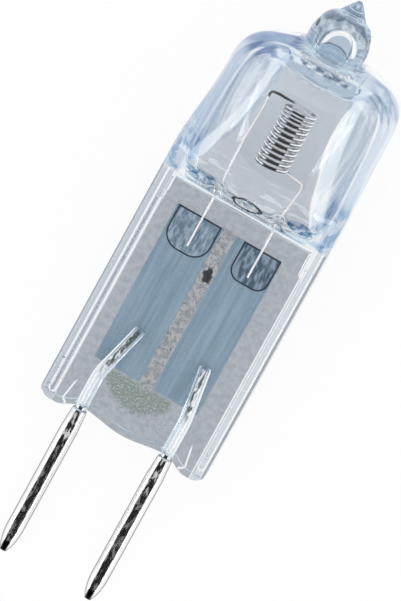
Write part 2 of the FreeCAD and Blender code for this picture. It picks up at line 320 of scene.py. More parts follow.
# %% Soft boxes at the sides
box_away = 0.42
box_back = -0.20
box_above = 0.185
box_length = 0.55
box_height = 0.04
box_glow = 4.0
for name, side in (("left", -1), ("right", 1)):
    bpy.ops.object.light_add(type="AREA")
    soft_box = bpy.context.object
    soft_box.name = "soft_box_" + name
    soft_box.data.shape = "RECTANGLE"
    soft_box.data.size = box_length
    soft_box.data.size_y = box_height
    soft_box.data.energy = box_glow * math.pi * box_length * box_height
    axes = Matrix(((0, side, 0), (0, 0, 1), (side, 0, 0))).transposed()
    box_middle = Vector((side * box_away, box_back, box_above))
    soft_box.matrix_world = Matrix.Translation(box_middle) @ axes.to_4x4()
    soft_box.visible_diffuse = False
    print(soft_box.name, "gives", round(soft_box.data.energy, 3), "W")

# %% [markdown]
# ## Reading a place, and clouds
#
# Every mark has a place in the lamp's own millimetres, so each material first turns Object
# coordinates upright again with a Mapping node. Nothing on real glass or metal is quite even.
# One group of nodes makes that unevenness for all of them: a noise that each material scales,
# and draws out along one axis where it wants streaks.


# %% A place on the lamp
def lamp_coordinates():
    """Object coordinates turned upright, in millimetres: X across, Y through and Z up."""
    where = nodes.new("ShaderNodeTexCoord")
    upright = nodes.new("ShaderNodeMapping")
    upright.vector_type = "TEXTURE"
    upright.inputs["Location"].default_value = feet
    upright.inputs["Rotation"].default_value = lean
    upright.inputs["Scale"].default_value = (0.001, 0.001, 0.001)
    links.new(where.outputs["Object"], upright.inputs["Vector"])
    return upright.outputs["Vector"]


def parted(vector):
    """The X, Y and Z of a vector."""
    parts = nodes.new("ShaderNodeSeparateXYZ")
    links.new(vector, parts.inputs[0])
    return parts.outputs


def new_finish(name, roughness, metallic=0.0):
    """A material with a Principled shader; gives it, its nodes, its links and the shader."""
    material = bpy.data.materials.new(name)
    material.use_nodes = True
    shader = material.node_tree.nodes["Principled BSDF"]
    shader.inputs["Roughness"].default_value = roughness
    shader.inputs["Metallic"].default_value = metallic
    return material, material.node_tree.nodes, material.node_tree.links, shader


print("the lamp's own axes lean by", [round(math.degrees(a), 1) for a in lean], "degrees")

# %% A node group for clouds, streaks and specks
clouds = bpy.data.node_groups.new("clouds", "ShaderNodeTree")
sockets = (("Place", "Vector"), ("Scale", "Float"), ("Detail", "Float"), ("Stretch", "Vector"))
for name, kind in sockets:
    clouds.interface.new_socket(name=name, in_out="INPUT", socket_type="NodeSocket" + kind)
clouds.interface.new_socket(name="Cloud", in_out="OUTPUT", socket_type="NodeSocketFloat")
inlet = clouds.nodes.new("NodeGroupInput")
drawn_out = clouds.nodes.new("ShaderNodeMapping")
field = clouds.nodes.new("ShaderNodeTexNoise")
outlet = clouds.nodes.new("NodeGroupOutput")
for source, output, target, socket in (
    (inlet, "Place", drawn_out, "Vector"),
    (inlet, "Stretch", drawn_out, "Scale"),
    (drawn_out, "Vector", field, "Vector"),
    (inlet, "Scale", field, "Scale"),
    (inlet, "Detail", field, "Detail"),
    (field, "Fac", outlet, "Cloud"),
):
    clouds.links.new(source.outputs[output], target.inputs[socket])


def cloud(scale, detail=3.0, stretch=(1, 1, 1)):
    """The cloudy values from the group; a stretch below 1 draws them out along that axis."""
    node = nodes.new("ShaderNodeGroup")
    node.node_tree = clouds
    links.new(place, node.inputs["Place"])
    node.inputs["Scale"].default_value = scale
    node.inputs["Detail"].default_value = detail
    node.inputs["Stretch"].default_value = stretch
    return node.outputs["Cloud"]


print("inputs of the clouds group:", ", ".join(name for name, _ in sockets))

# %% [markdown]
# ## Quartz glass
#
# The glass is clear, yet in a white room it shows grey, blue and white: a thick curved wall bends
# far parts of the room into view. A true copy of every wall would show the same, but the walls
# can't be measured from outside. So the two skins carry pale tints where the real ones bend
# light. Light that crosses a skin takes the root of its base colour, which `shows` allows for.


# %% The colour of glass
def shows(red, green, blue):
    """The colour of a glass skin that turns white light into this one in one crossing."""
    return tuple(((value / 255 + 0.055) / 1.055) ** 4.8 for value in (red, green, blue))


clear_white = (1.0, 1.0, 1.0)
glass, nodes, links, shader = new_finish("quartz glass", 0.0)
shader.inputs["IOR"].default_value = 1.458
shader.inputs["Transmission Weight"].default_value = 1.0
place = lamp_coordinates()
x, y, z = parted(place)
print("a skin that shows mid grey has base colour", round(shows(128, 128, 128)[0], 3))

# %% [markdown]
# ## Which skin, and which side of it
#
# Inside and outside are one mesh with one material, so a tint has to know where it is. The gas
# space is where a face looks towards the bulb's middle, and that is told by a dot product of the
# face's normal and the way from the middle. Backfacing turns the sign for light that comes from
# within the glass.


# %% The skins
def dot(first, second):
    """The dot product of two vectors, as sockets or as plain numbers."""
    node = nodes.new("ShaderNodeVectorMath")
    node.operation = "DOT_PRODUCT"
    for socket, value in zip(node.inputs, (first, second)):
        if isinstance(value, tuple):
            socket.default_value = value
        else:
            links.new(value, socket)
    return node.outputs["Value"]


def turned_upright(direction):
    """A direction in the lamp's own axes."""
    turned = nodes.new("ShaderNodeMapping")
    turned.vector_type = "TEXTURE"
    turned.inputs["Rotation"].default_value = lean
    links.new(direction, turned.inputs["Vector"])
    return turned.outputs["Vector"]


bulb_middle = (0.0, 0.0, 23.5)
faces = nodes.new("ShaderNodeNewGeometry")
from_middle = nodes.new("ShaderNodeVectorMath")
from_middle.operation = "SUBTRACT"
links.new(place, from_middle.inputs[0])
from_middle.inputs[1].default_value = bulb_middle
facing = dot(turned_upright(faces.outputs["True Normal"]), from_middle.outputs["Vector"])
facing = times(facing, plus(times(faces.outputs["Backfacing"], -2.0), 1.0))
inner_skin = both(tell("LESS_THAN", facing, 0.0), tell("GREATER_THAN", z, 17.7))
outer_skin = minus(1.0, inner_skin)
front = both(outer_skin, step(y, 0.3, -0.1))
rear = both(inner_skin, step(y, -0.2, 0.4), step(z, 28.5, 28.2))
print("masks for the skins use", len(nodes), "nodes")

# %% [markdown]
# ## Slanted places
#
# The camera looks down the lamp at a slant, so a mark on the round front and what it belongs to
# deep inside share a line of sight, not a height. Two slanted lengths, fixed on the lamp, take
# that in: `seen_x` across and `seen_z` up. From them come the curved inner edge of the white
# bands, the arch where the wall turns into the crown, and ovals.

# %% Lengths on the front
slant_down = 0.344
slant_aside = 0.0875
seen_x = dot(place, (1.0, slant_aside, 0.0))
seen_z = dot(place, (-slant_down * slant_aside, slant_down, 1.0))
wide = tell("ABSOLUTE", seen_x)
fall = tell("MAXIMUM", minus(26.5, seen_z), 0.0)
to_left = step(x, 1.5, -3.5)
bow_out = plus(times(to_left, 0.0085), 0.0245)
band = plus(times(times(fall, fall), bow_out), 2.83)
from_band = minus(wide, band)
reach = plus(times(fall, 0.04), 4.85)
side_part = tell("POWER", tell("DIVIDE", wide, reach), 6.0)
climb = tell("DIVIDE", tell("MAXIMUM", minus(seen_z, 20.0), 0.0), 8.05)
arch = tell("POWER", plus(side_part, tell("POWER", climb, 6.0)), 1.0 / 6.0)
in_neck = step(z, 17.5, 18.0)


def distance(first, second):
    """The length of a line that goes this far one way and this far the other."""
    return tell("SQRT", plus(times(first, first), times(second, second)))


def ring(across_it, up_it, middle_x, middle_z, half_width, half_height):
    """How far a place lies from the middle of an oval: 1 is on the oval."""
    right = tell("DIVIDE", minus(across_it, middle_x), half_width)
    above = tell("DIVIDE", minus(up_it, middle_z), half_height)
    return distance(right, above)


print("slanted lengths:", slant_down, "down and", slant_aside, "aside for each length through")

# %% Clouds that the marks share
large_cloud = cloud(0.9)
folded_cloud = cloud(1.7, 3.0, (1.0, 1.0, 0.6))
small_cloud = cloud(2.6)
fine_cloud = cloud(7.5)
streaks = step(cloud(1.3, 3.0, (1.0, 1.0, 0.03)), 0.40, 0.62)
print("five clouds are shared, because each one costs render time")

# %% [markdown]
# ## The walls and the crown
#
# The walls carry painted reflections: blue and white streaks along the tube, and a painted
# bright band at each side of the clear middle, with painted grey shade over the top of that
# middle. The crown carries a painted reflection that is bluer and mottled at the left, a painted
# white highlight arches where the wall turns into the crown, and a crumpled ring of small painted
# dark and white flashes lies where the tip was drawn off.

# %% Walls and bands
# Painted reflections: blue and white streaks along the walls.
wall = paint(streaks, shows(184, 196, 210), shows(222, 230, 239))
# Painted highlight: the bright band at each side of the clear middle.
bright = paint(streaks, shows(230, 239, 247), shows(246, 250, 253))
colour = paint(step(from_band, 0.30, 0.55), bright, wall)
# Painted shade: grey over the top of the clear middle.
top_shade = paint(step(seen_z, 26.45, 26.85), clear_white, shows(198, 206, 216))
mark(step(from_band, -0.36, -0.56), top_shade)
# Painted reflection on the wall below the crown, bluer at the left.
edge_wall = paint(to_left, shows(232, 238, 245), shows(206, 216, 230))
edge_wall = paint(times(streaks, 0.5), edge_wall, shows(236, 241, 247))
print("walls and bands:", len(nodes), "nodes")

# %% Crown and corners
# Painted reflection: the crown shows blue, bluer and mottled at the left.
mottle = step(large_cloud, 0.38, 0.62)
left_crown = paint(mottle, shows(118, 146, 188), shows(146, 171, 203))
right_crown = paint(mottle, shows(158, 178, 202), shows(210, 222, 235))
crown = paint(to_left, right_crown, left_crown)
crown = paint(near(seen_x, 0.6, 1.8, 3.0), crown, shows(220, 229, 238))
crown = paint(step(seen_z, 26.6, 27.6), edge_wall, crown)
mark(step(arch, 1.010, 1.030), crown)
# Painted highlight: a white arch where the wall turns into the crown.
mark(near(arch, 0.997, 0.009, 0.024), clear_white)
# Painted reflection: a dark line on the left of the crown.
dark_reflection_line = both(near(seen_z, 28.95, 0.04, 0.14), step(seen_x, -1.9, -2.3), step(seen_x, -4.3, -3.9))
mark(dark_reflection_line, shows(104, 128, 176))
# Painted reflection: blue and white in each corner low in the neck.
corner = paint(step(folded_cloud, 0.46, 0.56), shows(208, 219, 231), shows(158, 184, 214))
mark(both(step(wide, 4.9, 5.3), step(seen_z, 21.0, 19.9)), corner)
# Painted dark and white flashes, reflections on the crumpled ring where the tip was drawn off.
crumpled = both(near(seen_z, 27.55, 0.12, 0.30), near(seen_x, -0.2, 1.9, 2.3))
mark(both(crumpled, step(folded_cloud, 0.50, 0.56)), shows(110, 128, 150))
mark(both(crumpled, step(folded_cloud, 0.47, 0.42)), clear_white)
print("crown and corners:", len(nodes), "nodes")

# %% [markdown]
# ## The melted tip and floor
#
# The tip is a bead with the end of the filling tube's bore in it. Its greys and whites are painted
# reflections, with a painted white highlight that glints as an arch on the bore's edge, a painted
# highlight on its point and two small painted dark reflections. The floor, where the tube closes on
# the legs, is rippled: a painted oval glint, a reflection, lies in each corner, and a painted dark
# reflection swirls between the legs.

# %% The bead and its painted dark reflections
# Painted reflection: the bead shows grey and white clouds, lighter inside the bore.
bead_colour = paint(step(folded_cloud, 0.42, 0.60), shows(156, 170, 186), shows(208, 217, 227))
bore_edge = ring(seen_x, seen_z, 0.16, 29.2, 1.10, 1.40)
bead_colour = paint(step(bore_edge, 1.0, 0.9), bead_colour, shows(190, 202, 214))
# Painted highlight: a white arch on the edge of the bore.
glint = both(near(bore_edge, 1.0, 0.07, 0.17), step(seen_z, 29.2, 29.5))
bead_colour = paint(glint, bead_colour, clear_white)
from_axis = distance(minus(x, 0.15), y)
on_bead = both(step(z, 29.0, 29.3), step(from_axis, 2.25, 2.12))
# Two small painted dark reflections on the bead.
left_dark_reflection = ring(seen_x, seen_z, -1.78, 30.55, 0.10, 0.42)
right_dark_reflection = ring(seen_x, seen_z, 1.72, 31.15, 0.09, 0.28)
dark_reflections = step(tell("MINIMUM", left_dark_reflection, right_dark_reflection), 1.0, 0.6)
bead_colour = paint(dark_reflections, bead_colour, shows(84, 88, 96))
mark(on_bead, bead_colour)
# Painted highlight on the tip's point.
mark(both(on_bead, step(z, 31.8, 32.0)), shows(220, 230, 240))
print("tip:", len(nodes), "nodes")

# %% The melted floor
# Painted reflection: an oval glint in each corner of the floor, blue and white, with a painted white
# highlight round it.
eye = ring(wide, seen_z, 3.45, 17.78, 1.0, 0.42)
eye_colour = paint(step(small_cloud, 0.46, 0.56), shows(216, 226, 235), shows(140, 170, 203))
mark(step(eye, 1.0, 0.85), eye_colour)
mark(near(eye, 1.0, 0.07, 0.16), clear_white)
# Painted dark reflection: a swirl between the legs.
swirl = plus(ring(seen_x, seen_z, -0.2, 17.45, 0.95, 0.27), times(small_cloud, 0.5))
mark(near(swirl, 1.25, 0.10, 0.21), shows(70, 76, 84))
colour = paint(times(front, in_neck), clear_white, colour)
print("floor:", len(nodes), "nodes")

# %% The painted grey shade behind the coil
# Painted shade: the grey that the gas space shows behind the coil, with painted lighter waves low
# down.
inside_shade = paint(step(seen_z, 18.0, 27.0), shows(190, 196, 204), shows(197, 204, 213))
waves = both(step(cloud(0.9, 2.0, (0.35, 1.0, 3.2)), 0.54, 0.60), step(seen_z, 20.4, 19.4))
inside_shade = paint(waves, inside_shade, shows(214, 219, 226))
behind_band = minus(times(wide, 0.91), band)
mark(both(rear, step(behind_band, -0.36, -0.56)), inside_shade)
print("grey behind the coil:", len(nodes), "nodes")

# %% [markdown]
# ## The pinch
#
# The jaws that pinched the tube left a rail along each side and a flat panel. The rails carry
# painted light: a bright tone, darker at the left, with a painted white highlight line in it, and a
# painted white highlight spike stands near each lower corner. The panel's grey is painted shade,
# painted on its back, behind foils and leads, so that it doesn't tint them. Low on the back is a
# greenish stain with specks below it, and between the foils a brownish dust with one dark residue.

# %% The rails
foot = tell("MINIMUM", minus(seen_z, 0.55), 0.0)
from_rail = distance(minus(wide, 5.435), foot)
# Painted light on the rails: a bright tone, darker at the left, with a painted white highlight line
# along each rail.
rail_side_shade = paint(to_left, shows(226, 228, 232), shows(206, 209, 216))
rail_light = paint(near(from_rail, 0.225, 0.045, 0.085), rail_side_shade, clear_white)
low_front = both(outer_skin, minus(1.0, in_neck), step(y, -0.4, -0.6))
mark(both(low_front, step(wide, 5.10, 5.14)), rail_light)
print("rails:", len(nodes), "nodes")

# %% The back of the panel
behind = step(y, 0.9, 1.0)
side_x = tell("ABSOLUTE", x)
panel = both(behind, step(side_x, 5.15, 5.05), step(z, 17.35, 17.20))
# Painted shade: the grey of the flat panel.
panel_shade = paint(step(small_cloud, 0.3, 0.7), shows(170, 175, 182), shows(184, 188, 195))
mark(panel, panel_shade)
# Painted highlight: a white spike near each lower corner.
highlight_spike = near(plus(side_x, times(z, 0.17)), 4.56, 0.02, 0.09)
mark(both(highlight_spike, step(z, 1.7, 1.2), behind), clear_white)
print("back of the panel:", len(nodes), "nodes")

# %% The stain and its specks
stain_middle = plus(x, 0.45)
bow = times(times(stain_middle, stain_middle), 0.22)
above_bow = plus(minus(z, bow), times(folded_cloud, 0.9))
stain = both(step(above_bow, 1.65, 2.15), step(z, 3.65, 3.25), step(fine_cloud, 0.36, 0.52))
stain = both(stain, step(tell("ABSOLUTE", stain_middle), 2.5, 2.1), behind)
mark(stain, shows(136, 151, 141))
specks = both(step(fine_cloud, 0.62, 0.67), step(z, 0.6, 1.0), step(z, 2.8, 2.4), behind)
mark(specks, shows(126, 133, 138))
print("stain and specks:", len(nodes), "nodes")

# %% The dust between the foils
gap = both(near(x, -0.24, 0.40, 0.62), step(z, 15.6, 15.3), step(z, 3.0, 3.6), behind)
dust_colour = paint(step(small_cloud, 0.40, 0.60), shows(150, 156, 162), shows(182, 182, 184))
mark(gap, dust_colour)
mark(both(gap, step(fine_cloud, 0.58, 0.64)), shows(92, 88, 82))
spot = plus(ring(x, z, -0.10, 12.1, 1.0, 1.8), times(small_cloud, 0.7))
mark(both(step(spot, 0.70, 0.60), behind), (0.0005, 0.0006, 0.0008))
wear(colour)
print("quartz glass has", len(nodes), "nodes")

# %% [markdown]
# ## What happens inside the glass
#
# Thick quartz takes a little light on its way, red most of all. Its shadow is thin, because a
# renderer doesn't find the light that real glass gathers below it. And light that was thrown
# back inside the wall more than twice is taken for the white of the room, where the renderer
# would give up and show black.

# %% Absorption, shadow and late light
absorption = nodes.new("ShaderNodeVolumeAbsorption")
absorption.inputs["Color"].default_value = (0.0, 0.435, 0.68, 1)
absorption.inputs["Density"].default_value = 22.0
output = nodes["Material Output"]
links.new(absorption.outputs[0], output.inputs["Volume"])
thin_shadow = nodes.new("ShaderNodeBsdfTransparent")
thin_shadow.inputs["Color"].default_value = (0.8, 0.82, 0.85, 1)
path = nodes.new("ShaderNodeLightPath").outputs
lit = blended(path["Is Shadow Ray"], shader, thin_shadow, None, None)
room_light = nodes.new("ShaderNodeEmission")
room_light.inputs["Color"].default_value = (0.86, 0.90, 0.94, 1)
late = tell("GREATER_THAN", path["Glossy Depth"], 2.5)
blended(late, lit, room_light, output, "Surface")
print("light that has turned back more than twice is the room's")

# %% [markdown]
# ## Metals
#
# The pins are plated and polished: they mirror the white room at their sides and the dark card
# down their middle. Dust and dents mottle that dark line, most of all near the glass. A dark line
# a little inside each edge is painted shade, and the dark card's reflection is painted on down the
# front of each tapered end. Dust isn't metal, so it is a mask on Metallic, and dents are a Bump.

# %% Bright plating
pin_metal, nodes, links, shader = new_finish("bright plating", 0.10)
place = lamp_coordinates()
x, y, z = parted(place)
grazing = nodes.new("ShaderNodeLayerWeight")
grazing.inputs["Blend"].default_value = 0.5
edge_on = grazing.outputs["Facing"]
# Painted shade: a dark line a little inside each edge, taken from Layer Weight.
edge_shade = both(step(edge_on, 0.44, 0.56), step(edge_on, 0.84, 0.72))
amount = plus(times(step(z, -2.9, -1.7), 0.50), 0.19)
dust = times(step(cloud(5.0, 4.0, (1, 1, 0.30)), 0.48, 0.62), amount)
links.new(minus(1.0, dust), shader.inputs["Metallic"])
dents = nodes.new("ShaderNodeBump")
dents.inputs["Strength"].default_value = 0.22
dents.inputs["Distance"].default_value = 0.0001
links.new(cloud(3.2, 5.0, (1, 1, 0.35)), dents.inputs["Height"])
links.new(dents.outputs["Normal"], shader.inputs["Normal"])
off_axis = tell("ABSOLUTE", minus(tell("ABSOLUTE", x), 3.175))
# Painted reflection of the dark card, down the front of each tapered end.
tip_reflection = both(step(off_axis, 0.26, 0.16), step(y, 0.0, -0.1), step(z, -9.9, -10.2))
plating = paint(edge_shade, (0.92, 0.92, 0.93), (0.34, 0.34, 0.35))
wear(paint(tip_reflection, plating, (0.02, 0.02, 0.02)))
print(pin_metal.name, "has", len(nodes), "nodes")

# %% [markdown]
# ## Tungsten wire
#
# The wire is bright, and the coil's shade on itself is painted: each turn has painted shade
# below and a painted dark reflection at the middle of its front, and the far turns are painted
# duller than the near ones. The corner by the coil's top is painted nearly black. The legs look
# slightly pink.

# %% Bright tungsten
wire_metal, nodes, links, shader = new_finish("bright tungsten", 0.22, 1.0)
place = lamp_coordinates()
x, y, z = parted(place)
looks_up = parted(turned_upright(nodes.new("ShaderNodeTexCoord").outputs["Normal"]))["Z"]
on_coil = both(step(z, 20.70, 20.80), step(tell("ABSOLUTE", x), 1.25, 1.15))
colour = paint(on_coil, (0.93, 0.88, 0.87), (0.97, 0.97, 0.97))
# Painted shade under each turn.
mark(both(on_coil, step(looks_up, 0.20, -0.20)), (0.08, 0.08, 0.09))
middle_x = tell("ABSOLUTE", minus(x, 0.06))
# Painted shade: the far side of each turn, light in the middle and dark at the sides.
far_shade = paint(step(middle_x, 0.55, 0.75), (0.80, 0.78, 0.76), (0.26, 0.26, 0.27))
mark(both(on_coil, step(y, 0.1, 0.5)), far_shade)
# Painted reflection: a dark dash at the middle of each turn's front.
front_reflection = both(on_coil, step(y, -0.74, -0.84), step(middle_x, 0.50, 0.40))
mark(front_reflection, (0.012, 0.012, 0.014))
# The wire by the coil's top, towards the left leg, painted nearly black.
mark(both(step(z, 24.6, 24.7), step(x, -0.7, -1.2)), (0.05, 0.045, 0.045))
wear(colour)
print(wire_metal.name, "has", len(nodes), "nodes")

# %% [markdown]
# ## What lies in the pinch
#
# The leads are dull wire with dark flakes painted on the front of their upper parts. The foils
# look blue-grey, with faint rolling marks along them. The tabs are etched and scratched, the right
# one darker than the left one, and each has a dark cut edge. All of them are metal, but under glass
# and between white walls they look like matt paint, and little Metallic gives that.

# %% Lead wire
lead_metal, nodes, links, shader = new_finish("dull molybdenum", 0.3, 1.0)
place = lamp_coordinates()
x, y, z = parted(place)
flakes = step(cloud(4.0, 4.0, (1.0, 1.0, 0.5)), 0.40, 0.56)
# Dark flakes painted on the front of each lead, from the bend upwards.
dark_flakes = both(step(y, -0.24, -0.31), step(z, 2.4, 4.2), flakes)
wear(paint(dark_flakes, (0.84, 0.85, 0.87), (0.06, 0.08, 0.08)))
print(lead_metal.name, "has", len(nodes), "nodes")

# %% Sealing foil
foil_metal, nodes, links, shader = new_finish("sealing foil", 0.55, 0.1)
place = lamp_coordinates()
rolled = times(cloud(2.6, 3.0, (1.0, 1.0, 0.06)), 0.7)
tone = plus(rolled, times(cloud(9.0), 0.3))
wear(paint(step(tone, 0.34, 0.66), (0.35, 0.49, 0.60), (0.52, 0.66, 0.79)))
print(foil_metal.name, "has", len(nodes), "nodes")

# %% Etched weld tab
tab_metal, nodes, links, shader = new_finish("etched tab", 0.5, 0.1)
place = lamp_coordinates()
on_left = step(parted(place)["X"], 0.1, -0.1)
etched = step(cloud(4.5, 5.0, (1.0, 1.0, 0.35)), 0.36, 0.64)
left_tab = paint(etched, (0.23, 0.33, 0.43), (0.60, 0.72, 0.84))
right_tab = paint(etched, (0.11, 0.17, 0.24), (0.44, 0.56, 0.68))
wear(paint(on_left, right_tab, left_tab))
rim_metal, _, _, rim_shader = new_finish("tab edge", 0.5)
rim_shader.inputs["Base Color"].default_value = (0.02, 0.035, 0.06, 1)
print(tab_metal.name, "has", len(nodes), "nodes")

# %% [markdown]
# ## The glass
#
# The real tube was one shape all round: a circle that turns into a flat slab. Cutting it from a
# block, or bending a cylinder, leaves creases where the two forms meet. So both skins are made
# the same way: a flat grid is rolled up, with one line of its points for each height, and each
# line can be a rounded slab, a circle or anything between. The grid is closer where a rail or a
# step needs a crisp edge.

# %% Sizes of the outside
half_width = 6.06
half_thickness = 1.70
half_panel = 1.20
edge_radius = 0.45
pinch_top = 17.40
neck_start = 17.65
neck_top = 25.60
dome_start = 26.10
bulb_radius = 5.77
bulb_offset = 0.15
knuckle = 2.70
crown_slope = math.radians(18)
print("the pinch is", 2 * half_width, "mm wide and the bulb", 2 * bulb_radius, "mm")

# %% Points round a quarter of the outside
# Each point holds its place on the slab, and its angle for where the line is a circle.
side_turns = 13
edge_turns = 12
rail_turns = 25
face_turns = 65
flat_x = half_width - edge_radius
flat_y = half_thickness - edge_radius
quarter = [(half_width, flat_y * i / 4, side_turns * i / 4) for i in range(4)]
for i in range(8):
    bend = math.radians(90 * i / 8)
    bend_x = flat_x + edge_radius * math.cos(bend)
    quarter.append((bend_x, flat_y + edge_radius * math.sin(bend), side_turns + edge_turns * i / 8))
across_face = [flat_x - 0.04 * i for i in range(18)]
across_face += [4.86, 4.78, 4.66, 4.5] + [4.3 - 0.25 * i for i in range(17)] + [0.1]
for face_x in across_face:
    quarter.append((face_x, half_thickness, rail_turns + face_turns * (1 - face_x / flat_x)))
quarter.append((0, half_thickness, 90))
right_half = quarter + [(-x, y, 180 - a) for x, y, a in quarter[-2::-1]]
outline = right_half + [(x, -y, 360 - a) for x, y, a in right_half[-2:0:-1]]
print("points round the glass:", len(outline))

# %% [markdown]
# ## Edges and rails of the pinch
#
# The lower edge runs down at both feet, up to a notch at each pin and down again in a belly
# between them. The rails stand 0.5 mm proud of the panel, and end in a round foot. Both are
# written as functions of a place, so a line of points only has to ask them how low and how deep
# it lies there.


# %% The pinch's lower edge
corner_x = 5.21
corner_radius = 0.85
foot_x = 4.76
pin_x = 3.175
notch_z = 0.62
belly_z = 0.25


def lower_edge(x):
    """How far the lower edge stands above the feet: two notches at the pins, a belly between."""
    x = abs(x)
    if x > corner_x:
        return corner_radius - math.sqrt(max(corner_radius**2 - (x - corner_x) ** 2, 0))
    if x > foot_x:
        return 0.0
    if x > pin_x:
        return notch_z * ease((foot_x - x) / (foot_x - pin_x))
    return mix(belly_z, notch_z, (1 - math.cos(math.pi * x / pin_x)) / 2)


print("lower edge at the pins:", round(lower_edge(pin_x), 2), "mm above the feet")


# %% The rails at the sides of the panel
def recess(x, z):
    """How deep the panel lies at this place: nothing on the rails and above the panel's top."""
    x = abs(x)
    edge = 0.16
    foot_z = 0.78
    inner = 5.40 - 0.25 * ease((z - 15.5) / 0.2)
    if z < foot_z:
        outside = math.hypot(x - 5.73, z - foot_z) - 0.33
    else:
        outside = inner - x
    return (half_thickness - half_panel) * ease(outside / edge) * ease((pinch_top - z) / edge)


print("the panel lies", round(recess(0, 8), 2), "mm deep")

# %% [markdown]
# ## The neck, the bulb and the tip
#
# A neck that goes over evenly from slab to circle looks like a funnel. On the real lamp the glass
# opens in depth at once above the pinch and then slowly, while its width stays and draws in late.
# So depth and width each get a curve of their own. Above them come circles: a rounded knuckle, a
# shallow cone, and the profile of the bead and its point.


# %% Lines of points up the outside
def pinch_line(z, thickness=1.0):
    """One line round the pinch; its lower edge fades out by z = 2."""
    line = []
    for x, y, _ in outline:
        point_z = z + lower_edge(x) * max(1 - z / 2, 0)
        depth = min(abs(y), half_thickness - recess(x, point_z)) * thickness
        line.append((x, math.copysign(depth, y), point_z))
    return line


def opened(z):
    """How far the neck has opened in depth: a quick shoulder, then a long easy slope."""
    share = min((z - neck_start) / (neck_top - neck_start), 1)
    quick = 1 - math.exp(-share / 0.028)
    slow = math.sin(math.pi / 2 * share) ** 1.1
    return mix(slow, quick, 0.27)


def drawn_in(z):
    """How far the neck has drawn in from the pinch's width to the bulb's."""
    share = min((z - neck_start) / (neck_top - neck_start), 1)
    return ease((share - 0.21) / 0.79)


def neck_line(z):
    """One line round the neck, between the slab and the circle."""
    line = []
    for x, y, angle in outline:
        round_x = bulb_offset + bulb_radius * math.cos(math.radians(angle))
        round_y = bulb_radius * math.sin(math.radians(angle))
        line.append((mix(x, round_x, drawn_in(z)), mix(y, round_y, opened(z)), z))
    return line


def crown_tilt(x, z):
    """The bulb's closed end is a little higher on the right than on the left."""
    return (0.05 * x + 0.008 * x * x) * ease((z - 25.0) / 3.0) * ease((abs(x) - 1.6) / 1.2)


def round_line(radius, z, offset=0.0):
    """One circle round the bulb or the tip."""
    line = []
    for _, _, angle in outline:
        x = offset + radius * math.cos(math.radians(angle))
        y = radius * math.sin(math.radians(angle))
        line.append((x, y, z + crown_tilt(x, z)))
    return line


halfway = (neck_start + neck_top) / 2
print("half way up, the neck has opened by", round(opened(halfway), 2))

# %% All lines of the outside
lines = [pinch_line(0, 0), pinch_line(0, 0.5)]
rounding = 0.12
for i in range(5):
    bend = math.radians(90 * i / 4)
    thinned = rounding / half_panel * (1 - math.sin(bend))
    lines.append(pinch_line(rounding * (1 - math.cos(bend)), 1 - thinned))
heights = [0.3 + 0.06 * i for i in range(12)] + [1.1 + 0.6 * i for i in range(24)]
heights += [15.2 + 0.06 * i for i in range(12)] + [16.2, 16.8, 17.1]
heights += [17.2 + 0.03 * i for i in range(8)]
lines += [pinch_line(z) for z in heights]
shoulder = [0, 0.02, 0.05, 0.08, 0.12, 0.16, 0.21, 0.27, 0.34, 0.42, 0.52, 0.64, 0.8, 1.0]
lines += [neck_line(neck_start + above) for above in shoulder]
lines += [neck_line(mix(neck_start + 1.0, dome_start, i / 36)) for i in range(1, 37)]
sweep = math.pi / 2 - crown_slope
for i in range(1, 15):
    bend = sweep * i / 14
    radius = bulb_radius - knuckle + knuckle * math.cos(bend)
    lines.append(round_line(radius, dome_start + knuckle * math.sin(bend), bulb_offset))
crown_radius = bulb_radius - knuckle + knuckle * math.cos(sweep)
crown_z = dome_start + knuckle * math.sin(sweep)
bead_radius = 2.05
for radius in (3.4, 2.9, 2.5, 2.25):
    centre = bulb_offset * (radius - bead_radius) / (crown_radius - bead_radius)
    lines.append(round_line(radius, crown_z + (crown_radius - radius) * math.tan(crown_slope), centre))
bead = [(2.10, 29.30), (2.05, 29.42), (2.04, 29.65), (2.05, 29.90), (2.03, 30.20), (1.97, 30.50)]
bead += [(1.88, 30.80), (1.78, 31.10), (1.66, 31.38), (1.48, 31.62), (1.26, 31.80), (1.06, 31.90)]
bead += [(0.97, 31.96), (0.86, 32.12), (0.64, 32.44), (0.44, 32.72), (0.27, 32.94), (0.14, 33.07)]
bead += [(0.06, 33.10), (0.0, 33.10)]
lines += [round_line(radius, z) for radius, z in bead]
print("lines up the outside:", len(lines))


# %% Rolling a grid into a skin
def skin(name, lines):
    """Roll a flat grid into a closed skin, one row of its points for each line."""
    around = len(lines[0])
    bpy.ops.mesh.primitive_grid_add(x_subdivisions=around, y_subdivisions=len(lines) - 1, size=2)
    piece = bpy.context.object
    piece.name = name
    for vertex in piece.data.vertices:
        column = round((vertex.co.x + 1) / 2 * around) % around
        row = round((vertex.co.y + 1) / 2 * (len(lines) - 1))
        vertex.co = lines[row][column]
    bpy.ops.object.mode_set(mode="EDIT")
    bpy.ops.mesh.select_all(action="SELECT")
    bpy.ops.mesh.remove_doubles(threshold=0.0005)
    bpy.ops.mesh.dissolve_degenerate(threshold=0.0001)
    bpy.ops.mesh.normals_make_consistent(inside=False)
    bpy.ops.object.mode_set(mode="OBJECT")
    bpy.ops.object.shade_smooth()
    return piece


outside = skin("outside", lines)
print("outside:", len(outside.data.vertices), "points")

# %% [markdown]
# ## The gas space
#
# The hollow follows the outside at a distance, with a floor where the tube closes. A perfectly
# smooth hollow looks like plastic, so its ovals carry slight waves, the floor climbs round the
# legs, and the crown has a crumpled crease where the tip was drawn off. Sums of sines and bell
# curves give these forms, which come out the same in each run.

